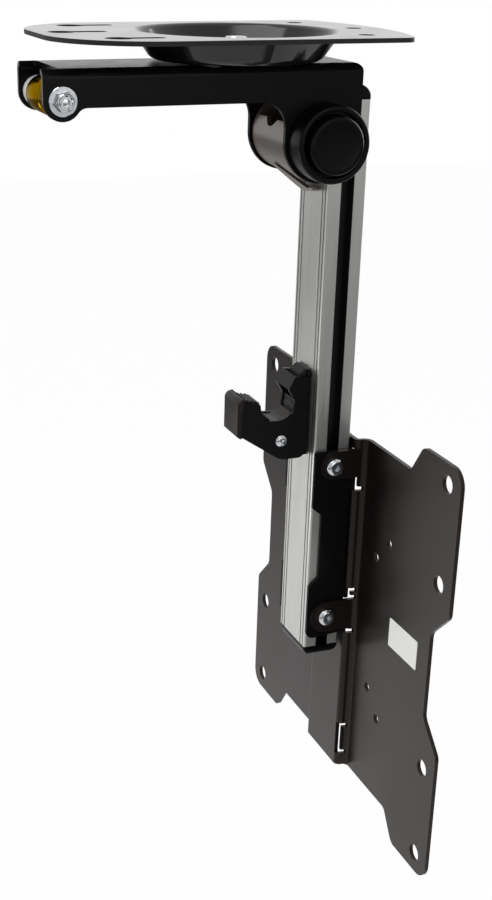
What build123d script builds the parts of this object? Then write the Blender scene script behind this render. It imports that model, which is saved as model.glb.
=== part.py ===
from build123d import *
from math import acos, atan2, cos, hypot, radians, sin, tan
import os

# Television ceiling mount that swivels, folds up and slides. Millimetres, +Z up.
# Origin: centre of the ceiling plate's top face, on the swivel axis.
# X runs across the arm, Y from the arm's free end towards the screen plate.

# Clearances
pin_fit = 0.1  # radial, a pin in its bore
slide_gap = 0.2  # between flat faces that pass each other
form_gap = 0.3  # round moulded and bent parts

# Ceiling plate: pressed sheet with a round dish
plate_sheet = 2.0
plate_half = 57.0
plate_rear = 92.7
plate_front = 70.7
plate_bow = 11.0
plate_rear_radius = 43.0
plate_front_radius = 6.0
dish_rim = 45.0
dish_floor = 37.5
dish_depth = 10.5
dish_lip = 6.0  # flat rim that joins the dish to the sheet
dish_bend = 3.5
keyhole_head = 6.0
keyhole_slot = 3.25
keyhole_length = 17.2
keyhole_side_x = 38.0
keyhole_side_y = -66.8
keyhole_mid_y = -81.0
ceiling_hole = 7.5
ceiling_hole_x = 39.0
ceiling_hole_y = 45.4
ceiling_mid_hole_y = 58.0

# Swivel: pivot bolt, friction disc and two guide bolts in arc slots
disc_thick = 0.5
disc_radius = 20.0
pivot_bolt = 10.0
pivot_washer = 10.0
pivot_washer_thick = 1.5
pivot_head = 8.5
pivot_head_thick = 4.0
pivot_nut_across = 16.0
pivot_nut_height = 5.0
guide_radius = 24.0
guide_bolt = 6.0
guide_head = 5.5
guide_head_thick = 3.0
guide_washer = 6.3
guide_washer_thick = 1.2
guide_nut_across = 10.0
guide_nut_height = 4.0
guide_sweep = 45.0
bolt_stand = 1.2  # thread that shows past each nut

# Arm: folded channel, open below
arm_sheet = 2.2
arm_fold = 4.0
arm_skirt = 16.1
arm_web_back = 8.0
arm_end_radius = 3.5

# Roller at the arm's free end
roller_y = -86.9
roller_z = -26.2
roller_lobe = 8.6
roller_radius = 8.0
roller_bolt = 8.0
roller_spacer_thick = 1.8
roller_spacer = 7.4
roller_washer = 6.3
roller_washer_thick = 1.2
roller_nut_across = 10.5
roller_nut_height = 3.6
roller_head = 6.5
roller_head_thick = 2.6
roller_blend = 5.0

# Friction hinge
hinge_y = 34.7
hinge_z = -47.2
hinge_lobe = 18.6
hinge_blend = 11.0
hinge_bolt = 10.0
hinge_drum = 17.5
drum_wall = 2.2
drum_cheek = 2.7
drum_top_angle = 152.0
notch_depth = 3.2
notch_width = 11.0
notch_radius = 1.5
drum_foot_half = 12.5
drum_foot_z = -75.2
drum_ear_back = 52.5
drum_ear_top = -31.0
drum_ear_bottom = -64.0
drum_ear_radius = 3.0
drum_foot_radius = 4.0
slit_start = (1.0, -59.4)  # slit where the foot leaves the drum, across and up
slit_end = (12.0, -67.9)
slit_width = 2.2
friction_washer = 15.5
friction_washer_thick = 1.3
hinge_head = 11.0
hinge_head_thick = 2.6
thrust_washer = 12.0
thrust_washer_thick = 1.5
spring_disc = 11.0
spring_disc_thick = 1.0
spring_disc_rise = 0.6
hinge_nut_across = 16.0
hinge_nut_height = 6.5
cover_radius = 17.4
cover_depth = 9.8
cover_wall = 2.0
cover_groove = 0.9
button_radius = 13.0
button_depth = 16.2
far_cap_depth = 4.2
far_cap_radius = 17.0
ear_screw = 3.2
ear_screw_head = 5.6
ear_screw_length = 9.0
ear_screw_y = 45.2
ear_screw_z = (-36.0, -58.5)

# Mast: aluminium extrusion with a slot in each side
mast_half = 16.0
mast_front = 41.8
mast_depth = 19.5
mast_top = -29.9
mast_length = 279.8
mast_corner = 1.0
mast_wall = 1.8
slot_y = 51.8
slot_opening = 6.7
slot_lip = 1.6
slot_inner = 9.2
slot_depth = 8.0
groove_width = 1.0
groove_depth = 0.8
groove_x = (10.5, 13.5)
cap_thick_top = 6.6
cap_thick_bottom = 6.2
cap_plug = 6.0
cap_radius = 5.0

# Carriage that slides on the mast
carriage_sheet = 1.5
carriage_top = -199.5
carriage_bottom = -304.3
carriage_waist = 5.2
carriage_waist_top = -229.7
carriage_waist_bottom = -274.0
carriage_shoulder = 4.5
screw_z = (-207.5, -291.3)
screw_size = 5.0
screw_head = 4.7
screw_head_thick = 2.8
nut_across = 9.4
nut_thick = 2.6

# Screen plate: hat section with lanced ears
screen_sheet = 2.0
screen_z = -289.5
screen_rise = 6.3
screen_fold = 3.0
screen_hub_half = 65.5
screen_hub_high = 95.0
screen_wing_half = 112.0
screen_wing_top = 110.0
screen_wing_in = 76.0
screen_wing_foot = 37.5
screen_waist_half = 97.0
screen_waist_high = 23.0
vesa_large = 100.0
vesa_mid = 50.0
vesa_small = 37.5
vesa_large_hole = 9.0
vesa_small_hole = 5.0
ear_upper = (-214.5, -199.5)
ear_lower = (-300.3, -283.2)
relief_z = ((-222.0, -214.5), (-283.2, -276.9), (-303.0, -300.3), (-377.5, -358.5))
relief_in = 2.5  # into the crown from the side wall's outer face
relief_deep = 2.6  # along the side wall from the crown
leg_deep = 5.2
leg_high = 2.2
leg_z = (-222.0, -283.2, -279.1, -303.0, -377.5, -360.7)

# Catch on the mast's front
catch_half = 8.5
catch_sheet = 1.5
catch_pivot_y = 26.7
catch_pivot_z = -194.7
catch_pin = 4.0
catch_back = 1.5  # from the mast's face to the side plates' back edge
catch_top = -162.8
catch_bottom = -204.8
catch_nose_y = 6.6
catch_mouth_z = -174.0
catch_base_top = -159.5
catch_base_bottom = -204.0
catch_base_sheet = 2.0
pad_round = 2.5
catch_grip_front = 2.8
catch_grip_half = 9.2
grip_bevel = 1.5
catch_grip_top = -171.8
catch_grip_bottom = -189.9
catch_cradle = 9.0
catch_cradle_y = 25.2
catch_cradle_z = -175.6
catch_boss = 5.0
catch_screw = 3.2
catch_screw_head = 6.0
catch_screw_length = 7.0
catch_screw_z = (-178.0, -199.0)
catch_pin_head = 3.4
catch_pin_head_thick = 1.6
catch_nut_across = 7.0
catch_nut_height = 2.6
catch_web = ((29.8, -168.5), (33.2, -161.9))  # the folded web's front face, low and high
catch_web_sheet = 1.7
mouth_points = ((14.7, -174.0), (17.3, -181.8), (19.6, -183.0), (32.4, -184.2), (33.6, -174.5), (31.4, -169.8))
grip_ramp = (-1.3, -172.2)  # from the side plates' tip, height
grip_points = ((16.8, -180.2), (22.0, -184.6), (33.6, -181.0), (33.6, -174.5), (36.0, -174.5), (34.6, -186.6),
               (22.0, -187.6), (18.0, -191.5))
catch_heel = 6.0
catch_toe = 5.0
nose_points = ((34.2, -172.0), (36.6, -161.2))  # the buffer's front, low and high
nose_top = -159.0
nose_half = 6.0
nose_round = 1.8
spring_wire = 0.7
spring_turns = 4
spring_width = 6.0

# Places worked out from the sizes above
dish_under = -dish_depth - plate_sheet
arm_top = dish_under - slide_gap - disc_thick
arm_web_under = arm_top - arm_sheet
arm_bottom = arm_top - arm_skirt
arm_rear = roller_y - roller_lobe
arm_front = hinge_y + hinge_lobe
mast_rear = mast_front + mast_depth
mast_bottom = mast_top - mast_length
cheek_out = mast_half + pin_fit + drum_cheek
flange_in = mast_half + slide_gap
flange_out = flange_in + carriage_sheet
carriage_rear = mast_rear + slide_gap + carriage_sheet
screen_front = carriage_rear + screen_rise
ear_out = flange_out + screen_sheet
washer_in = cheek_out + slide_gap
cheek_in = washer_in + friction_washer_thick
arm_half = cheek_in + arm_sheet

os.makedirs("parts", exist_ok=True)


def hex_nut(plane, across, height, bore):
    with BuildPart() as nut:
        with BuildSketch(plane):
            RegularPolygon(across / 2, 6, major_radius=False)
            Circle(bore / 2, mode=Mode.SUBTRACT)
        extrude(amount=height)
        with BuildSketch(plane):
            Circle(across * 0.48 + height * tan(radians(30)))
        extrude(amount=height, taper=30, mode=Mode.INTERSECT)
    return nut.part


def ring(plane, outer, bore, thick):
    with BuildPart() as washer:
        with BuildSketch(plane):
            Circle(outer)
            Circle(bore, mode=Mode.SUBTRACT)
        extrude(amount=thick)
        chamfer(washer.edges().filter_by(GeomType.CIRCLE).group_by(SortBy.RADIUS)[-1], min(0.4, thick * 0.2))
    return washer.part


def bolt(plane, shank, head, head_thick, length):
    with BuildPart() as body:
        with BuildSketch(plane):
            Circle(head)
        extrude(amount=-head_thick)
        fillet(body.edges().sort_by_distance(plane.origin)[-1], head_thick * 0.45)
        with BuildSketch(plane):
            Circle(shank / 2)
        extrude(amount=length)
        chamfer(body.faces().filter_by(GeomType.PLANE).sort_by_distance(plane.origin)[-1].edges(), 0.5)
    return body.part


def save(piece, name):
    piece.label = name
    export_step(piece, "parts/" + name + ".step")


# Ceiling plate
dish_join = dish_rim + dish_lip
with BuildPart() as ceiling_plate:
    with BuildSketch() as outline:
        with BuildLine():
            shoulder = plate_front - plate_bow
            Polyline((-plate_half, shoulder), (-plate_half, -plate_rear), (plate_half, -plate_rear),
                     (plate_half, shoulder))
            ThreePointArc((plate_half, shoulder), (0, plate_front), (-plate_half, shoulder))
        make_face()
        fillet(outline.vertices().group_by(Axis.Y)[0], plate_rear_radius)
        fillet(outline.vertices().group_by(Axis.Y)[-1], plate_front_radius)
        Circle(dish_join, mode=Mode.SUBTRACT)
        with Locations((-ceiling_hole_x, ceiling_hole_y), (ceiling_hole_x, ceiling_hole_y),
                       (0, ceiling_mid_hole_y)):
            Circle(ceiling_hole / 2, mode=Mode.SUBTRACT)
        with Locations((-keyhole_side_x, keyhole_side_y), (keyhole_side_x, keyhole_side_y),
                       (0, keyhole_mid_y)):
            Circle(keyhole_head, mode=Mode.SUBTRACT)
            with Locations((0, keyhole_length / 2)):
                SlotCenterToCenter(keyhole_length, keyhole_slot * 2, rotation=90, mode=Mode.SUBTRACT)
    extrude(amount=-plate_sheet)
    with BuildSketch(Plane.XZ) as dish_section:
        with BuildLine():
            FilletPolyline((0, -dish_depth), (dish_floor, -dish_depth), (dish_rim, 0), (dish_join, 0),
                           radius=dish_bend)
            offset(amount=plate_sheet, side=Side.RIGHT)
        make_face()
    revolve(axis=Axis.Z)
    with BuildSketch(Plane.XY.offset(dish_under)):
        Circle(pivot_bolt / 2 + pin_fit)
        for side in (90, 270):
            travel = CenterArc((0, 0), guide_radius, side - guide_sweep - 1, 2 * guide_sweep + 2,
                               mode=Mode.PRIVATE)
            SlotArc(travel, guide_bolt + 0.8)
    extrude(amount=plate_sheet * 2, mode=Mode.SUBTRACT)
save(ceiling_plate.part, "ceiling_plate")

# Swivel pivot
pivot_seat = Plane.XY.offset(arm_web_under - slide_gap)
pivot_top = -dish_depth + pivot_washer_thick + pivot_nut_height + bolt_stand
save(bolt(pivot_seat, pivot_bolt, pivot_head, pivot_head_thick, pivot_top - arm_web_under + slide_gap),
     "pivot_bolt")
save(ring(Plane.XY.offset(-dish_depth), pivot_washer, pivot_bolt / 2, pivot_washer_thick), "pivot_washer")
save(hex_nut(Plane.XY.offset(-dish_depth + pivot_washer_thick), pivot_nut_across, pivot_nut_height, pivot_bolt),
     "pivot_nut")
save(ring(Plane.XY.offset(arm_top), disc_radius, pivot_bolt / 2 + pin_fit, disc_thick), "friction_disc")

# Guide bolts that run in the dish's arc slots
guide_seat = -dish_depth + slide_gap
guide_top = guide_seat + guide_washer_thick + guide_nut_height + bolt_stand
with BuildPart() as guide_bolts:
    for side in (-1, 1):
        seat = Plane((0, side * guide_radius, arm_web_under))
        add(bolt(seat, guide_bolt, guide_head, guide_head_thick, guide_top - arm_web_under))
save(guide_bolts.part, "guide_bolts")
with BuildPart() as guide_washers:
    for side in (-1, 1):
        add(ring(Plane((0, side * guide_radius, guide_seat)), guide_washer, guide_bolt / 2, guide_washer_thick))
save(guide_washers.part, "guide_washers")
with BuildPart() as guide_nuts:
    for side in (-1, 1):
        seat = Plane((0, side * guide_radius, guide_seat + guide_washer_thick))
        add(hex_nut(seat, guide_nut_across, guide_nut_height, guide_bolt))
save(guide_nuts.part, "guide_nuts")

# Arm: channel section cut to the side outline
hinge_lobe_rear = hinge_y - hinge_lobe
with BuildPart() as arm:
    with BuildSketch(Plane.XZ) as channel:
        deep = arm_bottom + hinge_z - hinge_lobe
        with BuildLine():
            FilletPolyline((-arm_half, deep), (-arm_half, arm_top), (arm_half, arm_top), (arm_half, deep),
                           radius=arm_fold)
            offset(amount=arm_sheet, side=Side.RIGHT)
        make_face()
    extrude(amount=-arm_rear + arm_front, both=True)
    with BuildSketch(Plane.YZ) as side_outline:
        with BuildLine():
            Polyline((roller_y, arm_bottom), (roller_y, roller_z), (arm_rear, roller_z), (arm_rear, arm_top),
                     (arm_front, arm_top), (arm_front, hinge_z), (hinge_lobe_rear, hinge_z),
                     (hinge_lobe_rear, arm_bottom), close=True)
        make_face()
        top_corner = side_outline.vertices().sort_by_distance((arm_front, arm_top))[0]
        fillet(top_corner, arm_end_radius)
        with Locations((roller_y, roller_z)):
            Circle(roller_lobe)
        with Locations((hinge_y, hinge_z)):
            Circle(hinge_lobe)
        lobe_foot = (roller_y + (roller_lobe**2 - (roller_z - arm_bottom)**2)**0.5, arm_bottom)
        fillet(side_outline.vertices().sort_by_distance(lobe_foot)[0], roller_blend)
        fillet(side_outline.vertices().sort_by_distance((hinge_lobe_rear, arm_bottom))[0], hinge_blend)
        with Locations((roller_y, roller_z)):
            Circle(roller_bolt / 2, mode=Mode.SUBTRACT)
        with Locations((hinge_y, hinge_z)):
            Circle(hinge_bolt / 2, mode=Mode.SUBTRACT)
    extrude(amount=arm_half, both=True, mode=Mode.INTERSECT)
    with BuildSketch(Plane.XY.offset(arm_top)):
        with Locations((0, arm_rear)):
            RectangleRounded(2 * (arm_half - arm_fold), 2 * arm_web_back, 2)
        Circle(pivot_bolt / 2 + pin_fit)
        with Locations((0, -guide_radius), (0, guide_radius)):
            Circle(guide_bolt / 2)
    extrude(amount=-2 * arm_sheet, mode=Mode.SUBTRACT)
save(arm.part, "arm")

# Roller, its bolt and spacers
roller_half = cheek_in - roller_spacer_thick - slide_gap
save(ring(Plane((-roller_half, roller_y, roller_z), (0, 1, 0), (1, 0, 0)), roller_radius,
          roller_bolt / 2 + pin_fit, 2 * roller_half), "roller")
with BuildPart() as roller_spacers:
    for side in (-1, 1):
        seat = Plane((side * cheek_in, roller_y, roller_z), (0, 1, 0), (-side, 0, 0))
        add(ring(seat, roller_spacer, roller_bolt / 2, roller_spacer_thick))
save(roller_spacers.part, "roller_spacers")
near_seat = Plane((arm_half, roller_y, roller_z), (0, 1, 0), (1, 0, 0))
save(ring(near_seat, roller_washer, roller_bolt / 2, roller_washer_thick), "roller_washer")
save(hex_nut(near_seat.offset(roller_washer_thick), roller_nut_across, roller_nut_height, roller_bolt),
     "roller_nut")
save(bolt(Plane((-arm_half, roller_y, roller_z), (0, 1, 0), (1, 0, 0)), roller_bolt, roller_head,
          roller_head_thick, 2 * arm_half + roller_washer_thick + roller_nut_height + bolt_stand), "roller_bolt")

# Hinge bracket: rolled drum wall between two cheeks that clasp the mast
foot_angle = atan2(drum_foot_z - hinge_z, mast_front - hinge_y)
touch_angle = foot_angle - acos(hinge_drum / hypot(drum_foot_z - hinge_z, mast_front - hinge_y))
touch_y = hinge_y + hinge_drum * cos(touch_angle)
touch_z = hinge_z + hinge_drum * sin(touch_angle)
wall_y = drum_wall * cos(touch_angle)
wall_z = drum_wall * sin(touch_angle)
top_y = hinge_y + hinge_drum * cos(radians(drum_top_angle))
top_z = hinge_z + hinge_drum * sin(radians(drum_top_angle))
with BuildPart() as hinge_bracket:
    with BuildSketch(Plane.YZ):
        with Locations((hinge_y, hinge_z)):
            Circle(hinge_drum)
    extrude(amount=cheek_out, both=True)
    with BuildSketch(Plane.YZ):
        with Locations((mast_front, drum_ear_bottom)):
            Rectangle(drum_ear_back - mast_front, drum_ear_top - drum_ear_bottom, align=(Align.MIN, Align.MIN))
    extrude(amount=cheek_out, both=True)
    fillet(hinge_bracket.edges().filter_by(Axis.X).group_by(Axis.Y)[-1], drum_ear_radius)
    with BuildSketch(Plane.YZ):
        with Locations((hinge_y, hinge_z)):
            Circle(hinge_drum - drum_wall)
        with Locations((mast_front, drum_foot_z)):
            Rectangle(mast_depth, mast_top - drum_foot_z + cap_thick_top, align=(Align.MIN, Align.MIN))
        with Locations((top_y, top_z)):
            Rectangle(mast_depth + hinge_drum, hinge_drum, align=(Align.MIN, Align.MIN))
    extrude(amount=cheek_out - drum_cheek, both=True, mode=Mode.SUBTRACT)
    with BuildPart():
        with BuildSketch(Plane.YZ):
            with BuildLine():
                Polyline((touch_y, touch_z), (mast_front, drum_foot_z), (mast_front, drum_foot_z - wall_z),
                         (touch_y - wall_y, touch_z - wall_z), close=True)
            make_face()
        extrude(amount=drum_foot_half, both=True)
        with BuildSketch(Plane.XZ.offset(-mast_front)):
            with Locations((0, hinge_z)):
                RectangleRounded(2 * drum_foot_half, 2 * (hinge_z - drum_foot_z), drum_foot_radius)
        extrude(amount=mast_front, mode=Mode.INTERSECT)
    with BuildSketch(Plane.XZ.offset(-mast_front)):
        with BuildLine():
            slit = Line(slit_start, slit_end)
            offset(slit, amount=slit_width / 2)
        make_face()
    extrude(amount=mast_front - hinge_y + hinge_drum, mode=Mode.SUBTRACT)
    with BuildSketch(Plane.XZ.offset(-hinge_y + hinge_drum / 2)) as notch:
        with BuildLine():
            Polyline((-notch_width / 2, top_z + drum_wall), (0, top_z - notch_depth),
                     (notch_width / 2, top_z + drum_wall), close=True)
        make_face()
        fillet(notch.vertices().sort_by(Axis.Y)[0], notch_radius)
    extrude(amount=hinge_drum, mode=Mode.SUBTRACT)
    with BuildSketch(Plane.YZ.offset(-cheek_out)):
        with Locations((hinge_y, hinge_z)):
            Circle(hinge_bolt / 2 + pin_fit)
    extrude(amount=2 * cheek_out, mode=Mode.SUBTRACT)
    for side in (-1, 1):
        for z in ear_screw_z:
            seat = Plane((side * cheek_out, ear_screw_y, z), (0, 1, 0), (side, 0, 0))
            with Locations(seat):
                CounterSinkHole(ear_screw / 2, ear_screw_head / 2, drum_cheek + pin_fit)
save(hinge_bracket.part, "hinge_bracket")

# Countersunk screws through the cheeks into the mast
with BuildPart() as hinge_screws:
    for side in (-1, 1):
        for z in ear_screw_z:
            with BuildSketch(Plane((side * cheek_out, ear_screw_y, z), (0, 1, 0), (-side, 0, 0))):
                Circle(ear_screw_head / 2)
            extrude(amount=(ear_screw_head - ear_screw) / 2, taper=45)
            with BuildSketch(Plane((side * cheek_out, ear_screw_y, z), (0, 1, 0), (-side, 0, 0))):
                Circle(ear_screw / 2)
            extrude(amount=ear_screw_length)
save(hinge_screws.part, "hinge_screws")

# Hinge bolt, friction washers, disc springs and nut
hinge_near = Plane((arm_half, hinge_y, hinge_z), (0, 1, 0), (1, 0, 0))
hinge_far = Plane((-arm_half, hinge_y, hinge_z), (0, 1, 0), (-1, 0, 0))
stack = thrust_washer_thick + 2 * (spring_disc_thick + spring_disc_rise)
hinge_length = 2 * arm_half + stack + hinge_nut_height + 0.6
save(bolt(Plane((-arm_half, hinge_y, hinge_z), (0, 1, 0), (1, 0, 0)), hinge_bolt, hinge_head,
          hinge_head_thick, hinge_length), "hinge_bolt")
with BuildPart() as friction_washers:
    for side in (-1, 1):
        seat = Plane((side * washer_in, hinge_y, hinge_z), (0, 1, 0), (side, 0, 0))
        add(ring(seat, friction_washer, hinge_bolt / 2, friction_washer_thick))
save(friction_washers.part, "friction_washers")
save(ring(hinge_near, thrust_washer, hinge_bolt / 2, thrust_washer_thick), "thrust_washer")
with BuildPart() as disc_springs:
    low = arm_half + thrust_washer_thick
    rise = spring_disc_thick + spring_disc_rise
    with BuildSketch(Plane.XY.offset(hinge_z)):
        with BuildLine():
            Polyline((low, hinge_y + spring_disc), (low + spring_disc_thick, hinge_y + spring_disc),
                     (low + rise, hinge_y + hinge_bolt / 2), (low + spring_disc_rise, hinge_y + hinge_bolt / 2),
                     close=True)
        make_face()
        with BuildLine():
            Polyline((low + rise, hinge_y + hinge_bolt / 2),
                     (low + rise + spring_disc_thick, hinge_y + hinge_bolt / 2),
                     (low + 2 * rise, hinge_y + spring_disc),
                     (low + 2 * rise - spring_disc_thick, hinge_y + spring_disc), close=True)
        make_face()
    revolve(axis=Axis((0, hinge_y, hinge_z), (1, 0, 0)))
save(disc_springs.part, "disc_springs")
save(hex_nut(hinge_near.offset(stack), hinge_nut_across, hinge_nut_height, hinge_bolt), "hinge_nut")

# Near cover ring with its raised button, and the shallow far cap
with BuildPart() as hinge_cover:
    with BuildSketch(hinge_near):
        Circle(cover_radius)
    extrude(amount=cover_depth)
    fillet(hinge_cover.edges().sort_by(Axis.X)[-1], 1.2)
    with BuildSketch(hinge_near):
        Circle(cover_radius - cover_wall)
    extrude(amount=cover_depth - cover_wall, mode=Mode.SUBTRACT)
    with BuildSketch(hinge_near):
        Circle(button_radius - 2 + pin_fit)
    extrude(amount=cover_depth, mode=Mode.SUBTRACT)
    with BuildSketch(hinge_near.offset(cover_depth)):
        Circle(button_radius + cover_groove)
        Circle(button_radius - 2, mode=Mode.SUBTRACT)
    extrude(amount=-cover_wall / 2, mode=Mode.SUBTRACT)
save(hinge_cover.part, "hinge_cover")
with BuildPart() as hinge_button:
    with BuildSketch(hinge_near.offset(cover_depth - cover_wall / 2)):
        Circle(button_radius)
    extrude(amount=button_depth - cover_depth + cover_wall / 2)
    chamfer(hinge_button.edges().sort_by(Axis.X)[-1], 0.6)
    with BuildSketch(hinge_near.offset(cover_depth - cover_wall)):
        Circle(button_radius - 2)
    extrude(amount=cover_wall / 2)
    with BuildSketch(hinge_near):
        Circle(button_radius - 3.5)
    extrude(amount=button_depth - 1.6, mode=Mode.SUBTRACT)
save(hinge_button.part, "hinge_button")
with BuildPart() as far_cap:
    with BuildSketch(hinge_far):
        Circle(far_cap_radius)
    extrude(amount=far_cap_depth)
    fillet(far_cap.edges().sort_by(Axis.X)[0], 2)
    with BuildSketch(hinge_far):
        Circle(hinge_head + form_gap)
    extrude(amount=hinge_head_thick + form_gap, mode=Mode.SUBTRACT)
save(far_cap.part, "far_cap")

# Mast
with BuildPart() as mast:
    with BuildSketch(Plane.XY.offset(mast_top)) as section:
        with Locations((0, mast_front + mast_depth / 2)):
            RectangleRounded(2 * mast_half, mast_depth, mast_corner)
        slot_floor = mast_half - slot_lip - slot_depth
        for side in (-1, 1):
            with Locations((side * (mast_half - slot_lip / 2), slot_y)):
                Rectangle(slot_lip * 1.5, slot_opening, mode=Mode.SUBTRACT)
            with Locations((side * (mast_half - slot_lip - slot_depth / 2), slot_y)):
                Rectangle(slot_depth, slot_inner, mode=Mode.SUBTRACT)
            for x in groove_x:
                with Locations((side * x, mast_front)):
                    Rectangle(groove_width, 2 * groove_depth, mode=Mode.SUBTRACT)
        with Locations((0, mast_front + mast_depth / 2)):
            RectangleRounded(2 * (slot_floor - mast_wall), mast_depth - 2 * mast_wall, 1.5, mode=Mode.SUBTRACT)
    extrude(amount=-mast_length)
    with Locations(*[Plane((side * mast_half, ear_screw_y, z), (0, 1, 0), (side, 0, 0))
                     for side in (-1, 1) for z in ear_screw_z]):
        Hole(ear_screw / 2, ear_screw_length)
    with Locations(*[Plane((0, mast_front, z), (1, 0, 0), (0, -1, 0)) for z in catch_screw_z]):
        Hole(catch_screw / 2, mast_wall)
save(mast.part, "mast")

# Mast end caps with plugs
for name, plane, thick in (("mast_top_cap", Plane.XY.offset(mast_top), cap_thick_top),
                           ("mast_bottom_cap", Plane.XY.offset(mast_bottom), -cap_thick_bottom)):
    with BuildPart() as cap:
        with BuildSketch(plane):
            with Locations((0, mast_front + mast_depth / 2)):
                RectangleRounded(2 * mast_half, mast_depth, mast_corner)
        extrude(amount=thick)
        far_edges = cap.edges().filter_by(Axis.X).sort_by(Axis.Z, reverse=thick > 0)[:2]
        fillet(far_edges, cap_radius)
        with BuildSketch(plane):
            with Locations((0, mast_front + mast_depth / 2)):
                RectangleRounded(2 * (slot_floor - mast_wall - form_gap),
                                 mast_depth - 2 * (mast_wall + form_gap), 1.2)
        extrude(amount=-cap_plug if thick > 0 else cap_plug)
    save(cap.part, name)

# Carriage: channel round the mast's back and sides
with BuildPart() as carriage:
    with BuildSketch(Plane.XY.offset(carriage_top)) as channel:
        with BuildLine():
            FilletPolyline((-flange_out, mast_front), (-flange_out, carriage_rear), (flange_out, carriage_rear),
                           (flange_out, mast_front), radius=carriage_sheet + 0.2)
            offset(amount=carriage_sheet, side=Side.RIGHT)
        make_face()
    extrude(amount=carriage_bottom - carriage_top)
    with BuildSketch(Plane.YZ) as flange:
        with BuildLine():
            Polyline((mast_front, carriage_top), (mast_front, carriage_waist_top),
                     (mast_front + carriage_waist, carriage_waist_top - carriage_shoulder),
                     (mast_front + carriage_waist, carriage_waist_bottom + carriage_shoulder),
                     (mast_front, carriage_waist_bottom), (mast_front, carriage_bottom),
                     (carriage_rear, carriage_bottom + 2), (carriage_rear, carriage_top), close=True)
        make_face()
        fillet(flange.vertices().sort_by_distance((mast_front, carriage_top))[0], 2)
        fillet(flange.vertices().sort_by_distance((mast_front, carriage_bottom))[0], 4)
    extrude(amount=flange_out, both=True, mode=Mode.INTERSECT)
    with Locations(*[Plane((side * flange_out, slot_y, z), (0, 1, 0), (side, 0, 0))
                     for side in (-1, 1) for z in screw_z]):
        Hole(screw_size / 2, carriage_sheet)
save(carriage.part, "carriage")

# Carriage screws and their slot nuts
nut_in = mast_half - slot_lip - slide_gap - nut_thick
with BuildPart() as carriage_screws:
    for side in (-1, 1):
        for z in screw_z:
            seat = Plane((side * ear_out, slot_y, z), (0, 1, 0), (side, 0, 0))
            with BuildSketch(seat):
                Circle(screw_head)
            extrude(amount=screw_head_thick)
            rim = carriage_screws.edges().filter_by(GeomType.CIRCLE).sort_by_distance(
                seat.offset(screw_head_thick).origin + Vector(0, screw_head, 0))[0]
            fillet(rim, screw_head_thick * 0.75)
            with BuildSketch(seat.offset(screw_head_thick)):
                RegularPolygon(1.5, 6, major_radius=False)
            extrude(amount=-1.6, mode=Mode.SUBTRACT)
            with BuildSketch(seat):
                Circle(screw_size / 2)
            extrude(amount=nut_in - ear_out)
save(carriage_screws.part, "carriage_screws")
with BuildPart() as carriage_nuts:
    for side in (-1, 1):
        for z in screw_z:
            with BuildSketch(Plane((side * nut_in, slot_y, z), (0, 1, 0), (side, 0, 0))):
                Rectangle(slot_inner - 2 * form_gap, nut_across)
                Circle(screw_size / 2, mode=Mode.SUBTRACT)
            extrude(amount=nut_thick)
save(carriage_nuts.part, "carriage_nuts")

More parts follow.
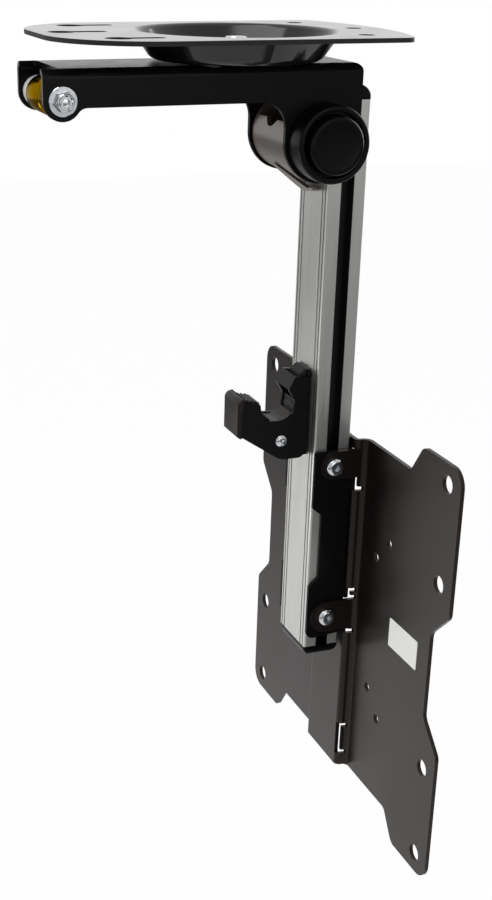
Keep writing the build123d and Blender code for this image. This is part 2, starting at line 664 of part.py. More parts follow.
# Screen plate
with BuildPart() as screen_plate:
    with BuildSketch(Plane.XY.offset(screen_z - screen_wing_top)) as hat:
        with BuildLine():
            FilletPolyline((-screen_wing_half, screen_front), (-ear_out, screen_front),
                           (-ear_out, carriage_rear), (ear_out, carriage_rear),
                           (ear_out, screen_front), (screen_wing_half, screen_front), radius=screen_fold)
            offset(amount=screen_sheet, side=Side.LEFT)
        make_face()
    extrude(amount=2 * screen_wing_top)
    with BuildSketch(Plane((0, screen_front + screen_sheet, screen_z), (1, 0, 0), (0, -1, 0))) as blank:
        with BuildLine() as quarter:
            Polyline((0, screen_hub_high), (screen_hub_half, screen_hub_high), (screen_wing_in, screen_wing_top),
                     (screen_wing_half, screen_wing_top), (screen_wing_half, screen_wing_foot),
                     (screen_waist_half, screen_waist_high), (screen_waist_half, 0))
            mirror(about=Plane.XZ)
            mirror(about=Plane.YZ)
        make_face()
        for corner, radius in (((screen_hub_half, screen_hub_high), 4), ((screen_wing_in, screen_wing_top), 6),
                               ((screen_wing_half, screen_wing_top), 9), ((screen_wing_half, screen_wing_foot), 5),
                               ((screen_waist_half, screen_waist_high), 6)):
            for sx in (-1, 1):
                for sz in (-1, 1):
                    spot = (sx * corner[0], sz * corner[1])
                    fillet(blank.vertices().sort_by_distance(spot)[0], radius)
        with GridLocations(2 * vesa_large, 2 * vesa_large, 2, 2):
            Circle(vesa_large_hole / 2, mode=Mode.SUBTRACT)
        with GridLocations(2 * vesa_large, 2 * vesa_mid, 2, 2):
            Circle(vesa_large_hole / 2, mode=Mode.SUBTRACT)
        with GridLocations(2 * vesa_mid, 2 * vesa_mid, 2, 2):
            Circle(vesa_small_hole / 2, mode=Mode.SUBTRACT)
        with GridLocations(2 * vesa_small, 2 * vesa_small, 2, 2):
            Circle(vesa_small_hole / 2, mode=Mode.SUBTRACT)
    extrude(amount=2 * (screen_rise + screen_sheet), mode=Mode.INTERSECT)
    for side in (-1, 1):
        for bottom, top in (ear_upper, ear_lower):
            with BuildSketch(Plane.YZ.offset(side * flange_out)):
                with Locations((slot_y, bottom)):
                    Rectangle(screen_front - slot_y, top - bottom, align=(Align.MIN, Align.MIN))
                with Locations((slot_y, (bottom + top) / 2)):
                    Circle((top - bottom) / 2)
            extrude(amount=side * screen_sheet)
        with BuildSketch(Plane.YZ.offset(side * (ear_out - relief_in))):
            for bottom, top in relief_z:
                with Locations((carriage_rear, bottom)):
                    Rectangle(2 * relief_deep, top - bottom, align=(Align.CENTER, Align.MIN))
            for bottom in leg_z:
                with Locations((carriage_rear, bottom)):
                    Rectangle(2 * leg_deep, leg_high, align=(Align.CENTER, Align.MIN))
        extrude(amount=side * 2 * relief_in, mode=Mode.SUBTRACT)
    with BuildSketch(Plane((0, carriage_rear, 0), (1, 0, 0), (0, -1, 0))):
        for bottom, top in (ear_upper, ear_lower):
            with Locations((0, bottom)):
                Rectangle(2 * (ear_out - screen_sheet), top - bottom, align=(Align.CENTER, Align.MIN))
    extrude(amount=-screen_sheet - screen_fold, mode=Mode.SUBTRACT)
    with Locations(*[Plane((side * ear_out, slot_y, z), (0, 1, 0), (side, 0, 0))
                     for side in (-1, 1) for z in screw_z]):
        Hole(screw_size / 2, screen_sheet)
save(screen_plate.part, "screen_plate")

# Catch base: folded bracket on the mast's front that carries the catch and its rubber nose
plate_in = catch_half - catch_sheet
base_half = plate_in - slide_gap
base_front = mast_front - catch_base_sheet
with BuildPart() as catch_base:
    with BuildSketch(Plane((0, mast_front, 0), (1, 0, 0), (0, -1, 0))) as pad:
        with Locations((0, catch_base_bottom)):
            Rectangle(2 * base_half, slide_gap + catch_top - catch_base_bottom, align=(Align.CENTER, Align.MIN))
        with Locations((0, catch_top + slide_gap)):
            Rectangle(2 * catch_half, catch_base_top - catch_top, align=(Align.CENTER, Align.MIN))
        fillet(pad.vertices().group_by(Axis.Y)[-1], pad_round)
    extrude(amount=catch_base_sheet)
    with BuildSketch(Plane.YZ) as upright:
        with Locations((catch_pivot_y, catch_pivot_z)):
            Circle(catch_boss)
        with BuildLine():
            Polyline((catch_pivot_y, catch_pivot_z - catch_boss), (catch_pivot_y, catch_pivot_z + catch_boss),
                     (mast_front, catch_pivot_z + catch_boss), (mast_front, catch_base_bottom), close=True)
        make_face()
    extrude(amount=base_half, both=True)
    with BuildSketch(Plane((0, base_front, 0), (1, 0, 0), (0, -1, 0))):
        with Locations((0, catch_pivot_z)):
            Rectangle(2 * (base_half - catch_sheet), 8 * catch_boss)
    extrude(amount=base_front, mode=Mode.SUBTRACT)
    with BuildSketch(Plane.YZ.offset(-base_half)):
        with Locations((catch_pivot_y, catch_pivot_z)):
            Circle(catch_pin / 2)
    extrude(amount=2 * base_half, mode=Mode.SUBTRACT)
    with Locations(*[Plane((0, base_front, z), (1, 0, 0), (0, -1, 0)) for z in catch_screw_z]):
        CounterSinkHole(catch_screw / 2, catch_screw_head / 2, catch_base_sheet)
save(catch_base.part, "catch_base")
with BuildPart() as catch_screws:
    for z in catch_screw_z:
        seat = Plane((0, base_front, z), (1, 0, 0), (0, 1, 0))
        with BuildSketch(seat):
            Circle(catch_screw_head / 2)
        extrude(amount=(catch_screw_head - catch_screw) / 2, taper=45)
        with BuildSketch(seat):
            Circle(catch_screw / 2)
        extrude(amount=catch_screw_length)
save(catch_screws.part, "catch_screws")

# Rubber buffer on the base, behind the catch's web
with BuildPart() as catch_nose:
    with BuildSketch(Plane.YZ) as nose:
        with BuildLine():
            Polyline(*nose_points, (base_front, nose_top), (base_front, nose_points[0][1]), close=True)
        make_face()
        fillet(nose.vertices().sort_by_distance(nose_points[1])[0], nose_round)
    extrude(amount=nose_half, both=True)
save(catch_nose.part, "catch_nose")

# Catch lever: two side plates folded back from a web, the moulded grip and cradle between them
lever_back = mast_front - catch_back
lever_outline = [(catch_nose_y, catch_mouth_z), *mouth_points, *catch_web, (lever_back, catch_top),
                 (lever_back, catch_bottom), (catch_pivot_y, catch_bottom), (catch_nose_y - 1, -191.1)]
web_tilt = atan2(catch_web[1][1] - catch_web[0][1], catch_web[1][0] - catch_web[0][0])
web_back = (catch_web_sheet * sin(web_tilt), -catch_web_sheet * cos(web_tilt))
web_outline = [catch_web[0], catch_web[1]] + [(y + web_back[0], z + web_back[1]) for y, z in reversed(catch_web)]
with BuildPart() as catch_plates:
    with BuildSketch(Plane.YZ) as lever:
        with BuildLine():
            Polyline(*lever_outline, close=True)
        make_face()
        fillet(lever.vertices().sort_by_distance((lever_back, catch_bottom))[0], catch_heel)
        fillet(lever.vertices().sort_by_distance((catch_pivot_y, catch_bottom))[0], catch_toe)
        fillet(lever.vertices().sort_by_distance((lever_back, catch_top))[0], catch_sheet)
        with Locations((catch_pivot_y, catch_pivot_z)):
            Circle(catch_pin / 2 + pin_fit, mode=Mode.SUBTRACT)
    extrude(amount=catch_half, both=True)
    with BuildSketch(Plane.XZ):
        with Locations((0, catch_bottom)):
            Rectangle(2 * plate_in, catch_web[1][1] - catch_bottom, align=(Align.CENTER, Align.MIN))
    extrude(amount=-mast_front, mode=Mode.SUBTRACT)
    with BuildSketch(Plane.YZ):
        with BuildLine():
            Polyline(*web_outline, close=True)
        make_face()
    extrude(amount=catch_half, both=True)
save(catch_plates.part, "catch_plates")
with BuildPart() as catch_grip:
    with BuildSketch(Plane.YZ) as grip:
        with BuildLine():
            Polyline((catch_nose_y + grip_ramp[0], grip_ramp[1]), mouth_points[0], *grip_points,
                     (catch_nose_y + grip_ramp[0], catch_grip_bottom), close=True)
        make_face()
        with Locations((catch_cradle_y, catch_cradle_z)):
            Circle(catch_cradle, mode=Mode.SUBTRACT)
    extrude(amount=plate_in - pin_fit / 2, both=True)
    with BuildSketch(Plane.YZ) as front:
        with BuildLine():
            Polyline((catch_grip_front, catch_grip_top - grip_bevel),
                     (catch_nose_y + grip_ramp[0], catch_grip_top),
                     (catch_nose_y + grip_ramp[0], catch_grip_bottom),
                     (catch_grip_front, catch_grip_bottom + grip_bevel), close=True)
        make_face()
    extrude(amount=catch_grip_half, both=True)
save(catch_grip.part, "catch_grip")

# Catch pivot screw with its nut, and the return spring round it
save(bolt(Plane((catch_half, catch_pivot_y, catch_pivot_z), (0, 1, 0), (-1, 0, 0)), catch_pin, catch_pin_head,
          catch_pin_head_thick, 2 * catch_half + catch_nut_height + 0.8), "catch_pivot")
save(hex_nut(Plane((-catch_half, catch_pivot_y, catch_pivot_z), (0, 1, 0), (-1, 0, 0)), catch_nut_across,
             catch_nut_height, catch_pin), "catch_nut")
spring_coil = (catch_pin + spring_wire) / 2 + form_gap
with BuildPart() as catch_spring:
    with BuildLine() as coil:
        Helix(spring_width / spring_turns, spring_width, spring_coil,
              center=(-spring_width / 2, catch_pivot_y, catch_pivot_z), direction=(1, 0, 0))
    with BuildSketch(Plane(coil.line @ 0, z_dir=coil.line % 0)):
        Circle(spring_wire / 2)
    sweep()
save(catch_spring.part, "catch_spring")
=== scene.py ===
from math import pi, radians, tau

import bmesh
import bpy
from mathutils import Matrix, Vector


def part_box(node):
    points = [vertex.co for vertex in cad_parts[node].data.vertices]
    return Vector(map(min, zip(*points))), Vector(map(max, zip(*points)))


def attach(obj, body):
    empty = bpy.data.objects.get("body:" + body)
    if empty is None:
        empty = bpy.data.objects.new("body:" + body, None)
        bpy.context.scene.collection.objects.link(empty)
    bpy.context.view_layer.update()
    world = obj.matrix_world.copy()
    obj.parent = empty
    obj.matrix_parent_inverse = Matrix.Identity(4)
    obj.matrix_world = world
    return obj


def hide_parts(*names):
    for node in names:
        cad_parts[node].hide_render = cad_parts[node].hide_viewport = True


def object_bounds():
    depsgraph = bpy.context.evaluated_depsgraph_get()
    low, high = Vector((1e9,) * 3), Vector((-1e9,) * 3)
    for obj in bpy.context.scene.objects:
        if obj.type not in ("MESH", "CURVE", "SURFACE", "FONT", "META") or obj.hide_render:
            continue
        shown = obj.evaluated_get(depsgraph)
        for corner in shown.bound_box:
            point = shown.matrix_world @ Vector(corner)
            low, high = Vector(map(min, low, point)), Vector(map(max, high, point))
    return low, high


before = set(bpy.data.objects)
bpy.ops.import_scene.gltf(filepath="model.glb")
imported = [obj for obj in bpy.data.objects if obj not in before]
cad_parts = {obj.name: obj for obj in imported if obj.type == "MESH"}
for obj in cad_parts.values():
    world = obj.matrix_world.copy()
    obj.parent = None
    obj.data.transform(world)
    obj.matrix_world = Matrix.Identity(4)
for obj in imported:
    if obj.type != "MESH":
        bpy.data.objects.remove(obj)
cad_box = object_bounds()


# Ceiling plate: 2 mm steel sheet, blanked, pressed into a round dish, and coated in black polyester powder.
# The powder bakes into a fine orange peel, nearly white where light only grazes it. Sheared edges are duller.
def linear(hexa):
    parts = [int(hexa[i:i + 2], 16) / 255 for i in (1, 3, 5)]
    return [c / 12.92 if c <= 0.04045 else ((c + 0.055) / 1.055) ** 2.4 for c in parts] + [1.0]


def put(material, kind, settings=None, links=None, **fields):
    node = material.node_tree.nodes.new(kind)
    for field, value in fields.items():
        setattr(node, field, value)
    for socket, value in (settings or {}).items():
        node.inputs[socket].default_value = value
    for socket, source in (links or {}).items():
        material.node_tree.links.new(source, node.inputs[socket])
    return node


def surface(name, colour, **settings):
    material = bpy.data.materials.new(name)
    material.use_nodes = True
    material.diffuse_color = linear(colour)
    shader = material.node_tree.nodes["Principled BSDF"]
    shader.inputs["Base Color"].default_value = linear(colour)
    for socket, value in settings.items():
        shader.inputs[socket.replace("_", " ")].default_value = value
    return material, shader


def dress(material, *names):
    for name in names:
        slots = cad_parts[name].data.materials
        slots.clear()
        slots.append(material)


def powder_coat(name, colour, cloud_colour, specular, roughness, peel_mm, rise=0.2, **settings):
    cloud_mm = 45
    peel_height = 0.0002
    material, shader = surface(name, colour, IOR=1.5, Specular_IOR_Level=specular, **settings)
    place = put(material, "ShaderNodeTexCoord")
    peel = put(material, "ShaderNodeTexNoise", {"Scale": 1000 / peel_mm, "Detail": 3.0, "Roughness": 0.55},
               {"Vector": place.outputs["Object"]})
    cloud = put(material, "ShaderNodeTexNoise", {"Scale": 1000 / cloud_mm, "Detail": 3.0, "Roughness": 0.6},
                {"Vector": place.outputs["Object"]})
    tint = put(material, "ShaderNodeMix", {"A": linear(colour), "B": linear(cloud_colour)},
               {"Factor": cloud.outputs["Fac"]}, data_type="RGBA")
    satin = put(material, "ShaderNodeMapRange", {"From Min": 0.3, "From Max": 0.7, "To Min": roughness - 0.04,
                                                 "To Max": roughness + 0.05}, {"Value": cloud.outputs["Fac"]})
    bump = put(material, "ShaderNodeBump", {"Strength": rise, "Distance": peel_height},
               {"Height": peel.outputs["Fac"]})
    material.node_tree.links.new(tint.outputs["Result"], shader.inputs["Base Color"])
    material.node_tree.links.new(satin.outputs["Result"], shader.inputs["Roughness"])
    material.node_tree.links.new(bump.outputs["Normal"], shader.inputs["Normal"])
    return material


plate_coat = powder_coat("satin_black_powder_coat", "#100f0f", "#161515", 0.36, 0.12, 1.1, 0.03)
plate_shader = plate_coat.node_tree.nodes["Principled BSDF"]
facing = put(plate_coat, "ShaderNodeTexCoord")
up = put(plate_coat, "ShaderNodeSeparateXYZ", links={0: facing.outputs["Normal"]})
flat = put(plate_coat, "ShaderNodeMath", links={0: up.outputs["Z"]}, operation="ABSOLUTE")
edge_roughness = 0.65
sheared_edge = put(plate_coat, "ShaderNodeMapRange",
                   {"From Min": 0.02, "From Max": 0.1, "To Min": edge_roughness, "To Max": 0.0},
                   {"Value": flat.outputs[0]})
duller = put(plate_coat, "ShaderNodeMath", links={0: plate_shader.inputs["Roughness"].links[0].from_socket,
                                                  1: sheared_edge.outputs["Result"]}, operation="MAXIMUM")
plate_coat.node_tree.links.new(duller.outputs[0], plate_shader.inputs["Roughness"])
dress(plate_coat, "ceiling_plate")


# Swivel: an M10 pivot bolt and two M6 guide bolts through the dish, with plain washers and hexagon nuts in
# bright zinc. The plating is thin and hard, faintly mottled where the passivating dip dried.
def zinc_plate(name, colour, second, roughness, **settings):
    mottle_mm = 2.5
    material, shader = surface(name, colour, Metallic=1.0, Roughness=roughness, **settings)
    place = put(material, "ShaderNodeTexCoord")
    mottle = put(material, "ShaderNodeTexNoise", {"Scale": 1000 / mottle_mm, "Detail": 3.0},
                 {"Vector": place.outputs["Object"]})
    tone = put(material, "ShaderNodeMix", {"A": linear(colour), "B": linear(second)},
               {"Factor": mottle.outputs["Fac"]}, data_type="RGBA")
    shine = put(material, "ShaderNodeMapRange", {"From Min": 0.3, "From Max": 0.7, "To Min": roughness - 0.06,
                                                 "To Max": roughness + 0.06}, {"Value": mottle.outputs["Fac"]})
    material.node_tree.links.new(tone.outputs["Result"], shader.inputs["Base Color"])
    material.node_tree.links.new(shine.outputs["Result"], shader.inputs["Roughness"])
    return material


bright_zinc = zinc_plate("bright_zinc_plate", "#d2d4d7", "#b0b3b8", 0.12)
dress(bright_zinc, "pivot_bolt", "pivot_washer", "pivot_nut", "guide_bolts", "guide_washers", "guide_nuts")


# Friction disc under the dish: white nylon, 0.5 mm thick. It looks soft and slightly waxy, because a fine grain
# spreads its highlight.
def moulded(name, colour, specular, roughness, grain_mm, rise, **settings):
    rub_mm = 16
    grain_height = 0.0001
    material, shader = surface(name, colour, IOR=1.53, Specular_IOR_Level=specular, **settings)
    place = put(material, "ShaderNodeTexCoord")
    grain = put(material, "ShaderNodeTexNoise", {"Scale": 1000 / grain_mm, "Detail": 4.0, "Roughness": 0.6},
                {"Vector": place.outputs["Object"]})
    rub = put(material, "ShaderNodeTexNoise", {"Scale": 1000 / rub_mm, "Detail": 2.0},
              {"Vector": place.outputs["Object"]})
    shine = put(material, "ShaderNodeMapRange", {"From Min": 0.35, "From Max": 0.7, "To Min": roughness - 0.05,
                                                 "To Max": roughness + 0.05}, {"Value": rub.outputs["Fac"]})
    bump = put(material, "ShaderNodeBump", {"Strength": rise, "Distance": grain_height},
               {"Height": grain.outputs["Fac"]})
    material.node_tree.links.new(shine.outputs["Result"], shader.inputs["Roughness"])
    material.node_tree.links.new(bump.outputs["Normal"], shader.inputs["Normal"])
    return material


white_nylon = moulded("white_nylon", "#e8e7e2", 0.5, 0.38, 0.8, 0.08)
dress(white_nylon, "friction_disc")

# Arm: 2.2 mm steel folded to a channel, its two cheeks laser cut, in a deeper and duller black than the
# plates because this powder is finer.
arm_coat = powder_coat("deep_black_powder_coat", "#0b0b0c", "#111112", 0.08, 0.24, 0.8, 0.06)
dress(arm_coat, "arm")

# Roller at the arm's free end: turned steel tube in yellow passivated zinc, with rounded ends, between white
# nylon spacers. The gold film is thicker and browner in places. It turns on an 8 mm bolt with a domed head,
# a plain washer and a small collared lock nut, all bright zinc.
roller_y = -0.0869
roller_z = -0.0262
roller_radius = 0.008
roller_bore = 0.0041
roller_end = 0.0126
end_round = 0.0028
spacer_radius = 0.0068
spacer_edge = 0.0004
spacer_gap = 0.0001
cheek_inner = 0.0203
cheek_outer = 0.0225
weld_distance = 0.000002


def turn(mesh, profile, y, z, steps=72):
    corners = [mesh.verts.new((x, y, z + radius)) for x, radius in profile]
    edges = [mesh.edges.new(pair) for pair in zip(corners, corners[1:])]
    bmesh.ops.spin(mesh, geom=corners + edges, cent=(0, y, z), axis=(1, 0, 0), angle=tau, steps=steps,
                   use_merge=True)


def make_piece(name, mesh, material, body, slot, *replaced, sharp=30):
    bmesh.ops.remove_doubles(mesh, verts=mesh.verts, dist=weld_distance)
    bmesh.ops.recalc_face_normals(mesh, faces=mesh.faces)
    for face in mesh.faces:
        face.smooth = True
    for edge in mesh.edges:
        if edge.is_manifold and edge.calc_face_angle() > radians(sharp):
            edge.smooth = False
    data = bpy.data.meshes.new(name)
    mesh.to_mesh(data)
    mesh.free()
    data.materials.append(material)
    piece = bpy.data.objects.new(name, data)
    bpy.context.scene.collection.objects.link(piece)
    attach(piece, body)
    if replaced:
        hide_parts(*replaced)
    return piece


yellow_zinc = zinc_plate("yellow_zinc_plate", "#836a27", "#5a4314", 0.18, Specular_Tint=linear("#dcc896"))
tube = bmesh.new()
half_profile = [(roller_end, roller_bore), (roller_end, roller_radius - end_round)]
quarter_round = ((0.92, 0.38), (0.7, 0.71), (0.38, 0.92), (0.0, 1.0))  # shares of end_round, along and up
half_profile += [(roller_end - end_round * (1 - share), roller_radius - end_round * (1 - rise))
                 for share, rise in quarter_round]
turn(tube, half_profile + [(-x, radius) for x, radius in reversed(half_profile)] + half_profile[:1],
     roller_y, roller_z)
make_piece("roller_tube", tube, yellow_zinc, "roller_sleeve", "yellow_zinc", "roller")

spacers = bmesh.new()
for side in (-1, 1):
    low = side * (roller_end + spacer_gap)
    high = side * cheek_inner
    edge = side * spacer_edge
    turn(spacers, [(low, roller_bore), (low, spacer_radius - spacer_edge), (low + edge, spacer_radius),
                   (high - edge, spacer_radius), (high, spacer_radius - spacer_edge), (high, roller_bore),
                   (low, roller_bore)], roller_y, roller_z)
make_piece("roller_side_spacers", spacers, white_nylon, "swing_arm", "white_nylon", "roller_spacers")
dress(bright_zinc, "roller_washer")

washer_thick = 0.0012
nut_seat = cheek_outer + washer_thick
nut_height = 0.0036
nut_across = 0.0078
nut_chamfer = 0.0005
nut_turned = 11
collar_height = 0.0008
collar_sunk = 0.0002
collar_bore = 0.0031
bolt_end = 0.0285
nut = bmesh.new()
bmesh.ops.create_cone(nut, segments=6, cap_ends=True, radius1=nut_across / 3 ** 0.5,
                      radius2=nut_across / 3 ** 0.5, depth=nut_height)
bmesh.ops.rotate(nut, verts=nut.verts, cent=(0, 0, 0), matrix=Matrix.Rotation(pi / 2, 3, "Y"))
bmesh.ops.rotate(nut, verts=nut.verts, cent=(0, 0, 0), matrix=Matrix.Rotation(radians(nut_turned), 3, "X"))
outer_rim = [e for e in nut.edges if min(v.co.x for v in e.verts) > 0]
bmesh.ops.bevel(nut, geom=outer_rim, offset=nut_chamfer, segments=2, profile=0.5, affect="EDGES", material=-1)
bmesh.ops.translate(nut, verts=nut.verts, vec=(nut_seat + nut_height / 2, roller_y, roller_z))
collar = nut_seat + nut_height
turn(nut, [(collar - collar_sunk, 0.0038), (collar + collar_height * 0.6, 0.0037),
           (collar + collar_height, 0.0034), (collar + collar_height, collar_bore),
           (collar - collar_sunk, collar_bore)], roller_y, roller_z)
make_piece("roller_lock_nut", nut, bright_zinc, "swing_arm", "zinc_steel", "roller_nut")

bolt = bmesh.new()
thread_pitch = 0.0005
shank_radius = 0.0040
thread_radius = 0.0029
dome = [(-cheek_outer, 0.0065), (-cheek_outer - 0.0010, 0.0064), (-cheek_outer - 0.0019, 0.0054),
        (-cheek_outer - 0.0024, 0.0036), (-cheek_outer - 0.0026, 0.0)]
tip = [(nut_seat, shank_radius), (nut_seat, thread_radius), (bolt_end - thread_pitch * 1.6, thread_radius),
       (bolt_end - thread_pitch * 1.1, 0.0026), (bolt_end - thread_pitch * 0.6, thread_radius),
       (bolt_end, 0.0025), (bolt_end, 0.0016), (bolt_end - 0.0014, 0.0014), (bolt_end - 0.0016, 0.0)]
turn(bolt, dome[::-1] + [(-cheek_outer, shank_radius)] + tip, roller_y, roller_z)
make_piece("roller_axle", bolt, bright_zinc, "swing_arm", "zinc_steel", "roller_bolt")

# Hinge bracket: 2.2 mm steel rolled to a drum round the hinge bolt, with two cheeks that clasp the mast and a
# flat foot cut off at a slant. Its black powder is glossier than the plates'. Its colour is painted a light grey
# brown as painted sheen for the drum's front, seen at a shallow angle.
def merged_copy(name):
    mesh = bmesh.new()
    mesh.from_mesh(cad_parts[name].data)
    bmesh.ops.remove_doubles(mesh, verts=mesh.verts, dist=weld_distance)
    return mesh


def prism(mesh, corners, along, round_corners=(), radius=0.0):
    rim = [mesh.verts.new(corner) for corner in corners]
    others = set(mesh.faces)
    mesh.faces.new(rim)
    if round_corners:
        bmesh.ops.bevel(mesh, geom=[rim[i] for i in round_corners], offset=radius, segments=6, profile=0.5,
                        affect="VERTICES", material=-1)
    outline = [face for face in mesh.faces if face not in others]
    pulled = bmesh.ops.extrude_face_region(mesh, geom=outline)["geom"]
    bmesh.ops.translate(mesh, verts=[v for v in pulled if isinstance(v, bmesh.types.BMVert)], vec=along)


def carve(mesh, cutter):
    bmesh.ops.recalc_face_normals(cutter, faces=cutter.faces)
    holders = []
    for shape in (mesh, cutter):
        data = bpy.data.meshes.new("carving")
        shape.to_mesh(data)
        shape.free()
        holders.append(bpy.data.objects.new("carving", data))
        bpy.context.scene.collection.objects.link(holders[-1])
    knife = holders[0].modifiers.new("knife", "BOOLEAN")
    knife.operation = "DIFFERENCE"
    knife.solver = "EXACT"
    knife.object = holders[1]
    carved = bmesh.new()
    carved.from_object(holders[0], bpy.context.evaluated_depsgraph_get())
    for holder in holders:
        bpy.data.objects.remove(holder)
    return carved


# Base and cloud colours are a painted sheen in light grey brown. The real coat is black.
drum_coat_painted_sheen = powder_coat("drum_black_coat_painted_sheen", "#4a433e", "#564e48", 1.0, 0.25, 1.0, 0.1,
                        Specular_Tint=linear("#fff2e8"))
bracket = merged_copy("hinge_bracket")
cut_distance = 0.000001
foot_low = Vector((-0.0125, 0, -0.0752))
foot_high = Vector((0.0125, 0, -0.0707))
foot_line = foot_high - foot_low
trimmed = bmesh.ops.bisect_plane(bracket, geom=bracket.verts[:] + bracket.edges[:] + bracket.faces[:],
                                 dist=cut_distance, plane_co=foot_low, plane_no=(foot_line.z, 0, -foot_line.x),
                                 clear_outer=True)
bmesh.ops.holes_fill(bracket, edges=[e for e in trimmed["geom_cut"] if isinstance(e, bmesh.types.BMEdge)])
openings = bmesh.new()
notch_front = 0.012
notch_depth = 0.012
notch_round = 0.0014
notch_outline = ((-0.0070, -0.034), (-0.0070, -0.0387), (-0.0024, -0.0424), (0.0020, -0.0424),
                 (0.0070, -0.0384), (0.0070, -0.034))
prism(openings, [(x, notch_front, z) for x, z in notch_outline], (0, notch_depth, 0), (1, 2, 3, 4), notch_round)
slit_front = 0.014
slit_depth = 0.0268
slit_round = 0.0007
slit_outline = ((-0.0050, -0.0606), (-0.0034, -0.0590), (0.0010, -0.0584), (0.0126, -0.0668),
                (0.0112, -0.0695), (0.0048, -0.0708), (0.0026, -0.0698))
prism(openings, [(x, slit_front, z) for x, z in slit_outline], (0, slit_depth, 0), (0, 1, 3, 4, 5, 6), slit_round)
make_piece("hinge_drum", carve(bracket, openings), drum_coat_painted_sheen, "mast_assembly", "black_powder_coat",
           "hinge_bracket")
dress(arm_coat, "hinge_screws")

# Friction hinge: an M10 bolt with nylon washers and disc springs, hidden under a deep moulded black ABS cover
# with a rounded rim, a groove and a dished button, and a shallow cap on the far side. The ABS has a fine even
# grain. The cover and button are centred 0.36 mm off the fold axis of the solids.
black_abs = moulded("black_abs", "#080809", 0.09, 0.3, 0.5, 0.12)
hinge_y = 0.0350
hinge_z = -0.0470
cover_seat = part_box("hinge_cover")[0][0]
button_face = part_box("hinge_button")[1][0]
cover_rim = cover_seat + 0.0130
cover_radius = 0.0174
cover_wall = 0.002
cover_steps = 96
rim_round = 0.0014
groove_out = 0.0146
groove_in = 0.0134
button_radius = 0.0130
button_edge = 0.0007
button_dish = 0.0007
groove_floor = cover_rim - 0.0034
cover = bmesh.new()
turn(cover, [(cover_seat, cover_radius - cover_wall), (cover_seat, cover_radius),
             (cover_rim - rim_round, cover_radius),
             (cover_rim - rim_round * 0.62, cover_radius - rim_round * 0.08),
             (cover_rim - rim_round * 0.29, cover_radius - rim_round * 0.29),
             (cover_rim - rim_round * 0.08, cover_radius - rim_round * 0.62),
             (cover_rim, cover_radius - rim_round), (cover_rim - 0.0002, groove_out + 0.0003),
             (cover_rim - 0.0006, groove_out), (groove_floor, groove_out), (groove_floor, groove_in),
             (groove_floor - cover_wall, groove_in), (groove_floor - cover_wall, cover_radius - cover_wall),
             (cover_seat, cover_radius - cover_wall)], hinge_y, hinge_z, cover_steps)
make_piece("hinge_cover_shell", cover, black_abs, "mast_assembly", "black_plastic", "hinge_cover", sharp=40)
button = bmesh.new()
button_back = groove_floor - 0.001
turn(button, [(button_back, 0.0), (button_back, button_radius),
              (button_face - button_edge * 1.3, button_radius),
              (button_face - button_edge, button_radius - 0.0001),
              (button_face - 0.0001, button_radius - button_edge),
              (button_face, button_radius - button_edge * 1.3), (button_face - 0.0003, button_radius - 0.0025),
              (button_face - 0.0006, button_radius * 0.5), (button_face - button_dish, 0.0)],
     hinge_y, hinge_z, cover_steps)
make_piece("hinge_button_cap", button, black_abs, "mast_assembly", "black_plastic", "hinge_button", sharp=50)
dress(bright_zinc, "hinge_bolt", "thrust_washer", "disc_springs", "hinge_nut")
dress(white_nylon, "friction_washers")
dress(black_abs, "far_cap")

# Mast: extruded aluminium with a slot in each side, satin anodised. The die leaves fine straight lines along
# the length, which the anodising keeps, so highlights spread across the lines. The slots' insides are painted
# dark grey as painted shade in the recesses.
aluminium, aluminium_shader = surface("satin_anodised_aluminium", "#bebebb", Metallic=1.0, Anisotropic=0.4)
place = put(aluminium, "ShaderNodeTexCoord")
along_mast = 0.012
die = put(aluminium, "ShaderNodeMapping", {"Scale": (1.0, 1.0, along_mast)}, {"Vector": place.outputs["Object"]})
die_line_mm = 0.6
lines = put(aluminium, "ShaderNodeTexNoise", {"Scale": 1000 / die_line_mm, "Detail": 4.0, "Roughness": 0.65},
            {"Vector": die.outputs["Vector"]})
tone = put(aluminium, "ShaderNodeMix", {"A": linear("#b4b4b1"), "B": linear("#c8c8c5")},
           {"Factor": lines.outputs["Fac"]}, data_type="RGBA")
shine = put(aluminium, "ShaderNodeMapRange", {"From Min": 0.3, "From Max": 0.7, "To Min": 0.32, "To Max": 0.44},
            {"Value": lines.outputs["Fac"]})
scratch = put(aluminium, "ShaderNodeBump", {"Strength": 0.1, "Distance": 0.0001},
              {"Height": lines.outputs["Fac"]})
# Mask of the slots' insides. Their colour is mixed to dark grey there as painted shade.
skin_x = 0.0156
slot_front = 0.0450
slot_rear = 0.0600
split = put(aluminium, "ShaderNodeSeparateXYZ", links={0: place.outputs["Object"]})
sideways = put(aluminium, "ShaderNodeMath", links={0: split.outputs["X"]}, operation="ABSOLUTE")
under_skin = put(aluminium, "ShaderNodeMath", {1: skin_x}, {0: sideways.outputs[0]}, operation="LESS_THAN")
past_front = put(aluminium, "ShaderNodeMath", {1: slot_front}, {0: split.outputs["Y"]}, operation="GREATER_THAN")
before_rear = put(aluminium, "ShaderNodeMath", {1: slot_rear}, {0: split.outputs["Y"]}, operation="LESS_THAN")
between = put(aluminium, "ShaderNodeMath", links={0: past_front.outputs[0], 1: before_rear.outputs[0]},
              operation="MULTIPLY")
slot_shade_mask = put(aluminium, "ShaderNodeMath", links={0: under_skin.outputs[0], 1: between.outputs[0]},
              operation="MULTIPLY")
slot_painted_shade = put(aluminium, "ShaderNodeMix", {"B": linear("#4a4a4a")},
             {"Factor": slot_shade_mask.outputs[0], "A": tone.outputs["Result"]}, data_type="RGBA")
aluminium.node_tree.links.new(slot_painted_shade.outputs["Result"], aluminium_shader.inputs["Base Color"])
aluminium.node_tree.links.new(shine.outputs["Result"], aluminium_shader.inputs["Roughness"])
aluminium.node_tree.links.new(scratch.outputs["Normal"], aluminium_shader.inputs["Normal"])
dress(aluminium, "mast")
dress(black_abs, "mast_top_cap", "mast_bottom_cap")

